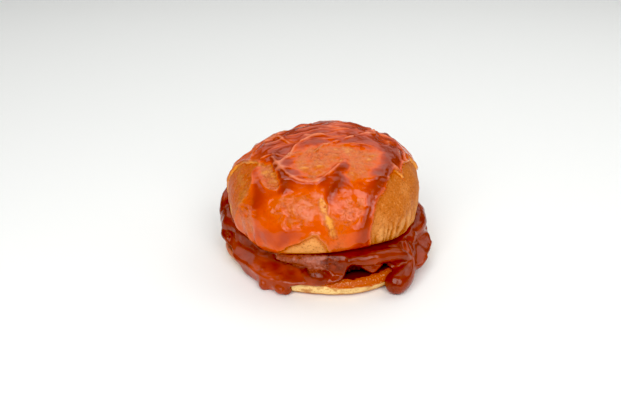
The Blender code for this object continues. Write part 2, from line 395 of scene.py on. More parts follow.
class Kit:
    """Places nodes in a material or a group and joins them."""

    def __init__(self, tree: bpy.types.NodeTree) -> None:
        """Works on a node tree."""
        self.tree = tree

    def add(self, kind: str, inputs: dict | None = None, **settings: object) -> bpy.types.Node:
        """Adds a node.

        Args:
            kind: the node's type.
            inputs: for each input, a value or an output that feeds it.
            settings: the node's own values.

        Returns:
            The node.
        """
        node = self.tree.nodes.new(kind)
        for name, value in settings.items():
            setattr(node, name, value)
        for name, value in (inputs or {}).items():
            if isinstance(value, bpy.types.NodeSocket):
                self.tree.links.new(value, node.inputs[name])
            else:
                node.inputs[name].default_value = value
        return node

    def math(self, operation: str, first: object, second: object = 0.0) -> bpy.types.NodeSocket:
        """One step of arithmetic on two values or outputs."""
        return self.add("ShaderNodeMath", {0: first, 1: second}, operation=operation).outputs[0]

    def remap(
        self, value: object, low: float, high: float, first: float = 0.0, last: float = 1.0
    ) -> bpy.types.NodeSocket:
        """Turns low..high of a value into first..last, with soft ends."""
        inputs = {"Value": value, "From Min": low, "From Max": high, "To Min": first, "To Max": last}
        return self.add("ShaderNodeMapRange", inputs, interpolation_type="SMOOTHSTEP").outputs["Result"]

    def blend(self, share: object, first: object, second: object) -> bpy.types.NodeSocket:
        """Mixes two colours.

        Args:
            share: how much of the second there is.
            first: a colour, or an output.
            second: a colour, or an output.

        Returns:
            The mixed colour.
        """
        node = self.add("ShaderNodeMix", data_type="RGBA")
        for number, value in ((0, share), (6, first), (7, second)):
            if isinstance(value, bpy.types.NodeSocket):
                self.tree.links.new(value, node.inputs[number])
            else:
                node.inputs[number].default_value = value
        return node.outputs[2]

    def ramp(self, value: object, stops: tuple) -> bpy.types.NodeSocket:
        """Colours along a value from 0 to 1.

        Args:
            value: the value.
            stops: (place, colour) along it.

        Returns:
            The colour.
        """
        node = self.add("ShaderNodeValToRGB", {"Fac": value})
        elements = node.color_ramp.elements
        while len(elements) < len(stops):
            elements.new(0.5)
        for element, (where, colour) in zip(elements, stops):
            element.position = where
            element.color = colour
        return node.outputs["Color"]

    def attribute(self, name: str) -> bpy.types.NodeSocket:
        """A number that is kept on the piece's points."""
        return self.add("ShaderNodeAttribute", attribute_name=name).outputs["Fac"]


def grain_group() -> bpy.types.NodeTree:
    """The grain that bread, meat and sauce share: fine specks, broad mottling, pits and cracks.

    Returns:
        A node group with the input Size, in mm, and the outputs Fine, Mottle, Pits and Cracks.
    """
    name = "food_grain"
    if name in bpy.data.node_groups:
        return bpy.data.node_groups[name]
    group = bpy.data.node_groups.new(name, "ShaderNodeTree")
    size = group.interface.new_socket("Size", in_out="INPUT", socket_type="NodeSocketFloat")
    size.default_value = 1.0
    for output in ("Fine", "Mottle", "Pits", "Cracks"):
        group.interface.new_socket(output, in_out="OUTPUT", socket_type="NodeSocketFloat")
    kit = Kit(group)
    entry = kit.add("NodeGroupInput")
    place_on = kit.add("ShaderNodeTexCoord").outputs["Object"]
    scale = kit.math("DIVIDE", 1.0 / MM, entry.outputs["Size"])
    speckle = {"Vector": place_on, "Scale": scale, "Detail": 4.0, "Roughness": 0.65}
    fine = kit.add("ShaderNodeTexNoise", speckle)
    broad = kit.math("MULTIPLY", scale, 0.11)
    mottle = kit.add("ShaderNodeTexNoise", {"Vector": place_on, "Scale": broad, "Detail": 3.0})
    pits = kit.add("ShaderNodeTexVoronoi", {"Vector": place_on, "Scale": scale}, feature="SMOOTH_F1")
    creased = kit.math("MULTIPLY", scale, 0.36)
    crease = {"Vector": place_on, "Scale": creased, "Detail": 3.0, "Roughness": 0.6, "Distortion": 0.9}
    away = kit.math("SUBTRACT", kit.add("ShaderNodeTexNoise", crease).outputs["Fac"], 0.5)
    cracks = kit.remap(kit.math("ABSOLUTE", away), 0.0, 0.045, 1.0, 0.0)
    leave = kit.add("NodeGroupOutput")
    group.links.new(fine.outputs["Fac"], leave.inputs["Fine"])
    group.links.new(mottle.outputs["Fac"], leave.inputs["Mottle"])
    group.links.new(pits.outputs["Distance"], leave.inputs["Pits"])
    group.links.new(cracks, leave.inputs["Cracks"])
    return group


def new_material(name: str) -> tuple[bpy.types.Material, Kit, bpy.types.Node]:
    """Starts a material.

    Args:
        name: its name.
    """
    material = bpy.data.materials.new(name)
    material.use_nodes = True
    kit = Kit(material.node_tree)
    return material, kit, material.node_tree.nodes["Principled BSDF"]


def add_grain(kit: Kit, size: float) -> bpy.types.Node:
    """Places the shared grain in a material.

    Args:
        kit: the material's kit.
        size: the grain's size in mm.

    Returns:
        The group's node.
    """
    grain = kit.add("ShaderNodeGroup", node_tree=grain_group())
    grain.inputs["Size"].default_value = size
    return grain


@dataclass(frozen=True)
class SauceFinish:
    """Tomato sauce whose colour follows its depth, from a see-through film to deep red."""

    name: str
    stops: tuple[tuple[float, Tone], ...]  # depth in mm, colour
    # Pale specks on thin sauce: grain on the crown, painted glints on the drape's film.
    pale_speck_and_glint: Tone
    dark_speck: Tone
    grain_until: float  # the depth that hides the bread's grain
    grain_relief: float
    pulp_relief: float
    thin_roughness: float
    thick_roughness: float
    index: float
    # A pale tint for the crests of folds: a painted highlight.
    crest_highlight_tone: Tone | None = None
    deepest: float = 2.4
    unevenness: float = 0.55
    grain_size: float = 1.0

    def material(self) -> bpy.types.Material:
        """Builds the material, which reads the piece's depth, and its crests, tinted pale as a painted
        highlight if they have a tone.

        Returns:
            The material.
        """
        material, kit, shader = new_material(self.name)
        grain = add_grain(kit, self.grain_size)
        depth = kit.attribute("depth")
        uneven = kit.math("MULTIPLY", kit.math("SUBTRACT", grain.outputs["Mottle"], 0.5), self.unevenness)
        seen = kit.math("ADD", depth, uneven)
        stops = tuple((where / self.deepest, shade(*colour)) for where, colour in self.stops)
        colour = kit.ramp(kit.math("DIVIDE", seen, self.deepest), stops)
        # Painted highlight: the crests of raised folds are tinted pale pink.
        if self.crest_highlight_tone is not None:
            lit = kit.remap(kit.attribute("crest"), 0.3, 1.0, 0.0, 0.65)
            colour = kit.blend(lit, colour, shade(*self.crest_highlight_tone))
        thin = kit.remap(seen, 0.2 * self.grain_until, self.grain_until, 1.0, 0.0)
        # Pale specks where the sauce is thin: the crumb's grain on the crown, and a painted glint on the
        # drape's film over the patty.
        light = kit.math("MULTIPLY", kit.remap(grain.outputs["Fine"], 0.5, 0.66, 0.0, 0.3), thin)
        colour = kit.blend(light, colour, shade(*self.pale_speck_and_glint))
        speck = kit.math("MULTIPLY", kit.remap(grain.outputs["Fine"], 0.47, 0.34, 0.0, 0.4), thin)
        crack = kit.math("MULTIPLY", grain.outputs["Cracks"], kit.remap(grain.outputs["Mottle"], 0.46, 0.58))
        cracked = kit.remap(seen, 0.4 * self.grain_until, 1.3 * self.grain_until, 0.7, 0.0)
        seam = kit.math("MULTIPLY", crack, cracked)
        dark = kit.math("MULTIPLY", kit.math("MAXIMUM", speck, seam), kit.remap(depth, 0.0, 0.16, 0.25, 1.0))
        colour = kit.blend(dark, colour, shade(*self.dark_speck))
        relief = kit.remap(thin, 0.0, 1.0, self.pulp_relief, self.grain_relief)
        rough = kit.math("SUBTRACT", grain.outputs["Fine"], kit.math("MULTIPLY", crack, 0.35))
        height = kit.math("MULTIPLY", rough, relief)
        bump = kit.add("ShaderNodeBump", {"Height": height, "Distance": MM, "Strength": 1.0})
        links = kit.tree.links
        links.new(colour, shader.inputs["Base Color"])
        if self.thin_roughness == self.thick_roughness:
            shader.inputs["Roughness"].default_value = self.thick_roughness
        else:
            gloss = kit.remap(thin, 0.0, 1.0, self.thick_roughness, self.thin_roughness)
            links.new(gloss, shader.inputs["Roughness"])
        links.new(bump.outputs["Normal"], shader.inputs["Normal"])
        shader.inputs["IOR"].default_value = self.index
        return material


@dataclass(frozen=True)
class BreadFinish:
    """Steamed bread: a pale and a brown, soaked with sauce where the piece says so."""

    name: str
    pale: Tone
    brown: Tone
    soaked: Tone
    pit: Tone
    tip: Tone
    sodden: Tone = (98, 30, 9)
    mottling: float = 1.7
    grain_size: float = 0.9
    relief: float = 0.2
    dry_roughness: float = 0.58
    wet_roughness: float = 0.36
    index: float = 1.36

    def material(self) -> bpy.types.Material:
        """Builds the material, which reads how brown the piece is, painted shade in the crown's grooves
        included, and how soaked it is.

        Returns:
            The material.
        """
        material, kit, shader = new_material(self.name)
        grain = add_grain(kit, self.grain_size)
        mottled = kit.math("MULTIPLY", kit.math("SUBTRACT", grain.outputs["Mottle"], 0.5), self.mottling)
        browned = kit.math("ADD", kit.attribute("browned"), mottled)
        colour = kit.blend(kit.remap(browned, 0.0, 1.0), shade(*self.pale), shade(*self.brown))
        soak = kit.math("ADD", kit.attribute("soaked"), kit.math("SUBTRACT", grain.outputs["Fine"], 0.5))
        wet = kit.remap(soak, 0.1, 0.9)
        colour = kit.blend(wet, colour, shade(*self.soaked))
        colour = kit.blend(kit.remap(grain.outputs["Fine"], 0.46, 0.34, 0.0, 0.6), colour, shade(*self.pit))
        colour = kit.blend(kit.remap(grain.outputs["Fine"], 0.54, 0.68, 0.0, 0.45), colour, shade(*self.tip))
        colour = kit.blend(kit.remap(soak, 1.5, 2.2), colour, shade(*self.sodden))
        height = kit.math("ADD", grain.outputs["Fine"], kit.math("MULTIPLY", grain.outputs["Pits"], 0.5))
        bump = kit.add("ShaderNodeBump", {"Height": height, "Distance": self.relief * MM, "Strength": 1.0})
        rough = kit.remap(wet, 0.0, 1.0, self.dry_roughness, self.wet_roughness)
        links = kit.tree.links
        links.new(colour, shader.inputs["Base Color"])
        links.new(rough, shader.inputs["Roughness"])
        links.new(bump.outputs["Normal"], shader.inputs["Normal"])
        shader.inputs["IOR"].default_value = self.index
        return material


@dataclass(frozen=True)
class MeatFinish:
    """Browned minced beef with a wet glaze."""

    name: str
    dark: Tone
    light: Tone
    grain_size: float = 1.3
    relief: float = 0.35
    glazed_roughness: float = 0.22
    dry_roughness: float = 0.42
    index: float = 1.42

    def material(self) -> bpy.types.Material:
        """Builds the material.

        Returns:
            The material.
        """
        material, kit, shader = new_material(self.name)
        grain = add_grain(kit, self.grain_size)
        colour = kit.blend(kit.remap(grain.outputs["Fine"], 0.35, 0.7), shade(*self.dark), shade(*self.light))
        height = kit.math("SUBTRACT", grain.outputs["Fine"], kit.math("MULTIPLY", grain.outputs["Pits"], 0.6))
        bump = kit.add("ShaderNodeBump", {"Height": height, "Distance": self.relief * MM, "Strength": 1.0})
        rough = kit.remap(grain.outputs["Mottle"], 0.3, 0.7, self.glazed_roughness, self.dry_roughness)
        links = kit.tree.links
        links.new(colour, shader.inputs["Base Color"])
        links.new(rough, shader.inputs["Roughness"])
        links.new(bump.outputs["Normal"], shader.inputs["Normal"])
        shader.inputs["IOR"].default_value = self.index
        return material


CROWN_SAUCE = SauceFinish(
    "crown_sauce",
    stops=(
        (0.0, (244, 164, 64)),
        (0.3, (206, 104, 38)),
        (0.75, (220, 86, 4)),
        (1.15, (186, 62, 9)),
        (1.7, (148, 50, 16)),
    ),
    pale_speck_and_glint=(244, 150, 62),
    dark_speck=(170, 56, 4),
    grain_until=0.85,
    grain_relief=0.25,
    pulp_relief=0.07,
    thin_roughness=0.13,
    thick_roughness=0.17,
    index=1.5,
    crest_highlight_tone=(232, 142, 104),
)
# Painted highlight: the colour at depth 0 and the pale specks are pinkish, for glints on the wet film over
# the patty.
DRAPE_SAUCE = SauceFinish(
    "drape_sauce",
    stops=(
        (0.0, (172, 88, 60)),
        (0.5, (122, 46, 24)),
        (1.2, (126, 41, 11)),
        (1.7, (150, 53, 17)),
        (2.4, (194, 82, 44)),
    ),
    pale_speck_and_glint=(200, 126, 98),
    dark_speck=(34, 6, 2),
    grain_until=1.3,
    grain_relief=0.22,
    pulp_relief=0.08,
    thin_roughness=0.14,
    thick_roughness=0.14,
    index=1.46,
)
CROWN_BREAD = BreadFinish(
    "crown_crust",
    pale=(240, 164, 92),
    brown=(202, 110, 38),
    soaked=(208, 92, 14),
    pit=(150, 66, 8),
    tip=(246, 184, 112),
    relief=0.45,
)
HEEL_BREAD = BreadFinish(
    "heel_crumb",
    pale=(250, 212, 142),
    brown=(196, 120, 54),
    soaked=(192, 82, 8),
    pit=(196, 112, 44),
    tip=(250, 216, 160),
)
PATTY_MEAT = MeatFinish("patty_meat", dark=(52, 14, 8), light=(104, 48, 30))


# ---------------------------------------------------------------- the crown


@dataclass(frozen=True)
class Dome:
    """The bare form of the bun's crown, the same as that of its solid."""

    radius: float = 45.0
    offset: float = 1.25
    widest: float = 27.6
    top: float = 54.6
    lip: float = 4.0
    lean: float = 4.4
    seat: float = 19.6
    edge: float = 19.5
    lip_share: float = 0.86  # how far out the cut face is flat
    centre_drop: float = 6.0  # relief stands away from a point this far under the widest ring
    # Where the lip hangs lower: azimuth, spread, droop, and how far the patty draws back there.
    droops: Stations = ((-40.0, 25.0, 4.6, 5.8), (58.0, 20.0, 3.4, 4.6))
    lump_depth: float = 0.75
    lump_size: float = 15.0
    pleat_depth: float = 0.45
    pleat_count: int = 34
    groove_depth: float = 1.7

    def edge_height(self, azimuth: np.ndarray) -> np.ndarray:
        """Height of the crown's lip."""
        droop = sum(depth * bell(azimuth, centre, spread) for centre, spread, depth, _ in self.droops)
        return self.edge - droop + 0.4 * wobble(azimuth, 2.6, 5.5)

    def ring_radius(self, azimuth: np.ndarray) -> np.ndarray:
        """Radius of the widest ring."""
        return self.radius - self.offset * np.sin(np.radians(azimuth)) + 0.5 * wobble(azimuth, 1.8, 9.2)

    def lip_radius(self, azimuth: np.ndarray) -> np.ndarray:
        """Radius of the lip's lowest line."""
        return self.ring_radius(azimuth) - self.lip

    def underside_height(self, azimuth: np.ndarray, share: np.ndarray) -> np.ndarray:
        """Height of the cut face, from its middle at share 0 to the lip's lowest line at share 1."""
        return self.seat + (self.edge_height(azimuth) - self.seat) * ease(share, self.lip_share, 1.0)

    def points(self, azimuth: np.ndarray, tilt: np.ndarray) -> np.ndarray:
        """Points of the bare dome.

        Args:
            azimuth: N azimuths.
            tilt: N tilts.

        Returns:
            N by 3 points.
        """
        turn, wide = np.radians(np.clip(tilt, 0.0, 180.0)), self.ring_radius(azimuth)
        above = turn <= math.pi / 2.0
        rise = np.clip(np.cos(turn), 0.0, 1.0)
        radius = np.where(above, wide * np.sin(turn), wide - self.lip + self.lip * np.sin(turn))
        drop = (self.widest - self.edge_height(azimuth)) * np.cos(turn)
        height = self.widest + np.where(above, (self.top - self.widest) * rise, drop)
        points = place(azimuth, radius, height)
        points[:, 0] += self.lean * rise**1.5
        return points

    def outward(self, points: np.ndarray) -> np.ndarray:
        """The way out of the dome at points of it."""
        away = points - np.array((0.0, 0.0, self.widest - self.centre_drop))
        return away / np.linalg.norm(away, axis=1)[:, None]

    def clear_of_lip(self, azimuth: np.ndarray, points: np.ndarray) -> np.ndarray:
        """0 under the lip, where the crown meets the sauce, and 1 a little above it."""
        return ease(points[:, 2] - self.edge_height(azimuth), 0.3, 4.0)

    def crust(self, azimuth: np.ndarray, points: np.ndarray) -> np.ndarray:
        """Relief of the crust: its dents, pleats and grooves.

        Args:
            azimuth: N azimuths.
            points: the bare dome's N points there.

        Returns:
            N heights over the bare dome.
        """
        dents = self.lump_depth * clumps(points, self.lump_size, 3)
        waves = np.sin(np.radians(azimuth) * self.pleat_count + 3.0 * wobble(azimuth, 3.0, 2.2))
        low = 1.0 - ease(points[:, 2], self.edge + 2.0, self.edge + 10.0)
        return dents + self.pleat_depth * waves * low - self.groove_depth * self.grooves(azimuth, points)

    def grooves(self, azimuth: np.ndarray, points: np.ndarray) -> np.ndarray:
        """The upright grooves where the crust shrank at the front right.

        Args:
            azimuth: N azimuths.
            points: the bare dome's N points there.

        Returns:
            N values, 1 in the middle of a groove and 0 beside it.
        """
        wander = 2.2 * clumps(points, 9.0, 2, seed=15.0) + 2.0 * wobble(azimuth, 5.0, 1.4)
        beside = np.abs(np.sin(np.radians(azimuth) * self.pleat_count + wander))
        shrunk = bell(azimuth, 50.0, 24.0) * (1.0 - ease(points[:, 2], self.edge + 3.0, self.edge + 13.0))
        return shrunk * (1.0 - beside) ** 1.5

    def line(self, stations: Stations, closed: bool = False) -> tuple[np.ndarray, np.ndarray]:
        """A smooth line on the dome.

        Args:
            stations: (azimuth, tilt) along it.
            closed: whether it comes back to its start.

        Returns:
            The line's points, and the same line on a flat map where the tilt is the distance.
        """
        azimuth, tilt = np.array(stations, float).T
        flat = np.column_stack((tilt * np.sin(np.radians(azimuth)), -tilt * np.cos(np.radians(azimuth))))
        flat = curve_through(flat, 5, closed)
        turned = np.degrees(np.arctan2(flat[:, 0], -flat[:, 1]))
        return self.points(turned, np.hypot(flat[:, 0], flat[:, 1])), flat


def inside_of(azimuth: np.ndarray, tilt: np.ndarray, loop: np.ndarray) -> np.ndarray:
    """Which places of the dome lie inside a loop.

    Args:
        azimuth: N azimuths.
        tilt: N tilts.
        loop: the closed line on the flat map, where the tilt is the distance from the middle.

    Returns:
        N truth values.
    """
    x, y = tilt * np.sin(np.radians(azimuth)), -tilt * np.cos(np.radians(azimuth))
    inside = np.zeros(len(x), bool)
    for (x0, y0), (x1, y1) in zip(loop, loop[1:]):
        if y0 != y1:
            crosses = (y0 > y) != (y1 > y)
            inside ^= crosses & (x < (x1 - x0) * (y - y0) / (y1 - y0) + x0)
    return inside


def tongue(centre: float, half: float, tip: float, neck: float = 54.0) -> Stations:
    """The outline of a run of sauce that hangs from the sheet.

    Args:
        centre: its azimuth.
        half: half its width in degrees.
        tip: the tilt that it reaches.
        neck: the tilt where it leaves the sheet.

    Returns:
        Stations of (azimuth, tilt) round it.
    """
    middle = 0.5 * (neck + tip)
    return (
        (centre - 1.5 * half, neck),
        (centre - 1.05 * half, neck + 8.0),
        (centre - 0.95 * half, middle),
        (centre - 0.8 * half, tip - 6.0),
        (centre, tip),
        (centre + 0.8 * half, tip - 6.0),
        (centre + 0.95 * half, middle),
        (centre + 1.05 * half, neck + 8.0),
    )


@dataclass(frozen=True)
class Sheet:
    """Where the sauce lies on the dome, and how deep."""

    dome: Dome
    coat: float = 0.72
    least: float = 0.08  # depth of the thinnest film
    cap_tilt: float = 56.0  # above this the sauce lies deeper and creased
    cap_fade: float = 16.0
    cap_depth: float = 0.62
    edge_width: float = 0.9
    bead: float = 0.55
    bead_width: float = 0.9
    # The sheet's edge at the front, from the left side to the right, in (azimuth, tilt).
    front_edge: Stations = (
        (-83, 55), (-77, 50), (-71, 48), (-65, 56), (-58, 60), (-56, 68), (-58, 80), (-61, 110), (-60, 140),
        (-56, 172), (-50, 188), (-38, 190), (-29, 184), (-26, 150), (-21, 125), (-15, 106), (-8, 87),
        (-3, 91), (0, 117), (2, 160), (5, 188), (16, 190), (26, 186), (27, 150), (25, 100), (25.5, 82),
        (28, 70), (33, 60), (40, 57), (44, 51), (51, 48), (57, 47), (60, 52), (61.5, 58), (63.5, 53),
        (67, 49.5), (73, 49), (79, 51), (87, 56),
    )  # fmt: skip
    # Runs round the back: azimuth, half-width, the tilt that each one reaches.
    back_runs: Stations = (
        (101, 6.5, 78), (127, 7.5, 190), (151, 6.5, 82), (177, 9.0, 132),
        (206, 10.0, 190), (233, 6.5, 76), (264, 5.5, 122),
    )  # fmt: skip
    # Places where the sheet is a thin film: its depth, how softly it starts, and the closed line round it
    # in (azimuth, tilt).
    thin_spots: tuple[tuple[float, float, Stations], ...] = (
        (0.54, 2.2, ((-36, 62), (-27, 55), (-14, 53), (-9, 60), (-9, 72), (-14, 80), (-24, 80), (-33, 72))),
        (0.54, 2.2, ((8, 58), (20, 56), (22, 64), (18, 76), (10, 79), (6, 68))),
        (0.5, 2.2, ((-52, 72), (-44, 76), (-42, 96), (-48, 120), (-55, 104), (-55, 84))),
        (0.22, 2.2, ((-70, 46), (-62, 42), (-50, 43), (-42, 47), (-36, 53), (-43, 55), (-55, 54), (-64, 51))),
        (0.04, 1.2, ((-7, 55), (-3, 57), (0.5, 66), (3.5, 76), (6, 87), (3, 88), (-0.5, 76), (-5, 64))),
        (
            0.42,
            3.2,
            (
                (-50, 29), (-44, 35), (-34, 39), (-25, 41), (-17, 41), (-11, 39), (-5, 35), (3, 29), (13, 27),
                (9, 38), (12, 47), (22, 47), (30, 42), (43, 36), (59, 34), (60, 28), (50, 19), (26, 13),
                (0, 10), (-30, 12), (-47, 20),
            ),
        ),
        (0.3, 2.8, ((120, 34), (136, 46), (152, 44), (150, 32))),
        (0.3, 2.8, ((198, 34), (214, 48), (236, 44), (230, 32))),
        (0.4, 2.2, ((170, 60), (184, 60), (186, 84), (172, 86))),
    )
    # Thick runs on the sheet: height, half-width, then the way of each.
    runs: tuple[tuple[float, float, Stations], ...] = (
        (0.8, 3.4, ((80, 38), (62, 39), (45, 44), (33, 52), (26, 60), (22, 69), (21, 80), (20, 100))),
        (0.7, 2.2, ((9, 33), (6, 39), (3, 46), (0, 52), (-1, 57))),
        (0.6, 3.4, ((-64, 50), (-52, 56), (-45, 64), (-44, 76))),
        (0.7, 3.0, ((-64, 37), (-50, 41), (-38, 46), (-31, 52), (-26, 60))),
        (0.4, 4.5, ((-34, 100), (-24, 92), (-14, 72))),
        (0.7, 3.2, ((127, 45), (127, 80), (127, 150))),
        (0.6, 3.6, ((177, 48), (177, 90), (176, 120))),
        (0.7, 4.0, ((206, 45), (205, 90), (206, 150))),
    )
    # Folds that stand up on the sheet as lit lines, also painted lighter through the sheet's depth: height,
    # half-width, then the way of each.
    ridges: tuple[tuple[float, float, Stations], ...] = (
        (0.8, 0.64, ((-80, 52), (-101, 48), (-108, 38), (-100, 26), (-108, 14), (-160, 7), (125, 15))),
        (0.8, 0.64, ((-53, 32), (-60, 27), (-72, 20), (-80, 10), (0, 3), (70, 6))),
        (0.8, 0.72, ((-74, 44), (-70, 37), (-61, 34), (-53, 32))),
        (0.88, 0.72, ((-66, 38), (-50, 39), (-36, 42), (-24, 44), (-13, 43), (-6, 38), (3, 31), (8, 26))),
        (0.64, 0.64, ((-52, 54), (-44, 56), (-38, 55), (-36, 52))),
        (0.8, 0.64, ((-61, 13), (-20, 6), (60, 9), (96, 12), (108, 22))),
        (0.8, 0.64, ((118, 22), (114, 32), (106, 38), (94, 45), (80, 48), (78, 60))),
        (0.8, 0.64, ((86, 38), (74, 43), (70, 50), (64, 58))),
        (0.72, 0.64, ((-34, 20), (-28, 13), (0, 9), (40, 8), (72, 10))),
        (0.8, 0.72, ((-120, 24), (-140, 18), (180, 14), (140, 18))),
        (0.72, 0.64, ((140, 40), (165, 34), (190, 38), (215, 30))),
        (0.72, 0.64, ((225, 44), (246, 36), (262, 30), (280, 26))),
    )

    def outline(self) -> tuple[np.ndarray, np.ndarray]:
        """The sheet's whole edge, on the dome and on the flat map."""
        back = tuple(station for run in self.back_runs for station in tongue(*run))
        return self.dome.line(self.front_edge + back, closed=True)

    @staticmethod
    def inside_by(
        azimuth: np.ndarray, tilt: np.ndarray, bare: np.ndarray, loop: tuple[np.ndarray, np.ndarray]
    ) -> np.ndarray:
        """How far inside a closed line places lie.

        Args:
            azimuth: N azimuths.
            tilt: N tilts.
            bare: the bare dome's N points there.
            loop: the line on the dome and on the flat map.

        Returns:
            N distances in mm, negative outside the line.
        """
        distance = distance_to(bare, loop[0])
        return np.where(inside_of(azimuth, tilt, loop[1]), distance, -distance)

    def reach(self, azimuth: np.ndarray, tilt: np.ndarray, bare: np.ndarray) -> np.ndarray:
        """How far inside the sheet's ragged edge each place lies, in mm, negative outside it."""
        return self.inside_by(azimuth, tilt, bare, self.outline()) + 0.6 * clumps(bare, 4.0, 3, seed=4.0)

    def thin_out(
        self, azimuth: np.ndarray, tilt: np.ndarray, bare: np.ndarray, depth: np.ndarray
    ) -> tuple[np.ndarray, np.ndarray]:
        """Thins the sauce where it ran off.

        Args:
            azimuth: N azimuths.
            tilt: N tilts.
            bare: the bare dome's N points there.
            depth: N depths before that.

        Returns:
            The N depths, and 1 in the middle of a thin spot and 0 away from them.
        """
        most = np.zeros(len(bare))
        ragged = 0.75 * clumps(bare, 5.0, 3, seed=9.0)
        for film, softness, spot in self.thin_spots:
            inside = self.inside_by(azimuth, tilt, bare, self.dome.line(spot, closed=True))
            thin = ease(inside / softness + ragged, -0.9, 1.0)
            depth = depth + (film - depth) * thin
            most = np.maximum(most, thin)
        return depth, most

    @staticmethod
    def creases(bare: np.ndarray) -> np.ndarray:
        """The creases that wander over the skin of the sauce.

        Args:
            bare: the bare dome's N points.

        Returns:
            N heights.
        """
        bent = bare + 2.5 * np.column_stack([clumps(bare, 12.0, seed=seed) for seed in (20.0, 30.0, 40.0)])
        crease = np.exp(-((clumps(bent, (17.0, 9.0, 11.0), seed=7.0) / 0.09) ** 2))
        return 0.75 * crease * ease(clumps(bare, 11.0, seed=12.0), -0.45, 0.25)

    def depth(
        self, azimuth: np.ndarray, tilt: np.ndarray, bare: np.ndarray, reach: np.ndarray
    ) -> tuple[np.ndarray, np.ndarray]:
        """Depth of the sauce, in mm, and the folds that stand up on it.

        Args:
            azimuth: N azimuths.
            tilt: N tilts.
            bare: the bare dome's N points there.
            reach: how far inside the sheet's edge they lie.

        Returns:
            N depths and N heights of folds, both before the sheet's edge is rounded.
        """
        depth = self.coat + 0.22 * clumps(bare, 9.0, 2, seed=2.0)
        for rise, half, way in self.runs:
            depth += rise * np.exp(-((distance_to(bare, self.dome.line(way)[0]) / half) ** 2))
        top = ease(self.cap_tilt - tilt, 0.0, self.cap_fade)
        depth += top * (self.cap_depth + 0.4 * clumps(bare, (9.0, 6.0, 6.0), 2, seed=5.0))
        depth, thin = self.thin_out(azimuth, tilt, bare, depth)
        depth += 0.16 * thin * clumps(bare, 3.2, 3, seed=6.0)
        folds = self.creases(bare) * top * (1.0 - 0.6 * thin)
        folds += self.bead * np.exp(-(((reach - self.bead_width) / self.bead_width) ** 2))
        uneven = 0.8 + 0.4 * clumps(bare, 5.0, seed=3.0)
        for rise, half, way in self.ridges:
            near = distance_to(bare, self.dome.line(way)[0])
            folds += rise * np.exp(-((near / half) ** 2)) * uneven
        wrinkled = 0.08 + 0.14 * top + 0.12 * thin
        return np.maximum(depth, self.least), folds + wrinkled * clumps(bare, (2.8, 2.2, 2.2), 3, seed=18.0)


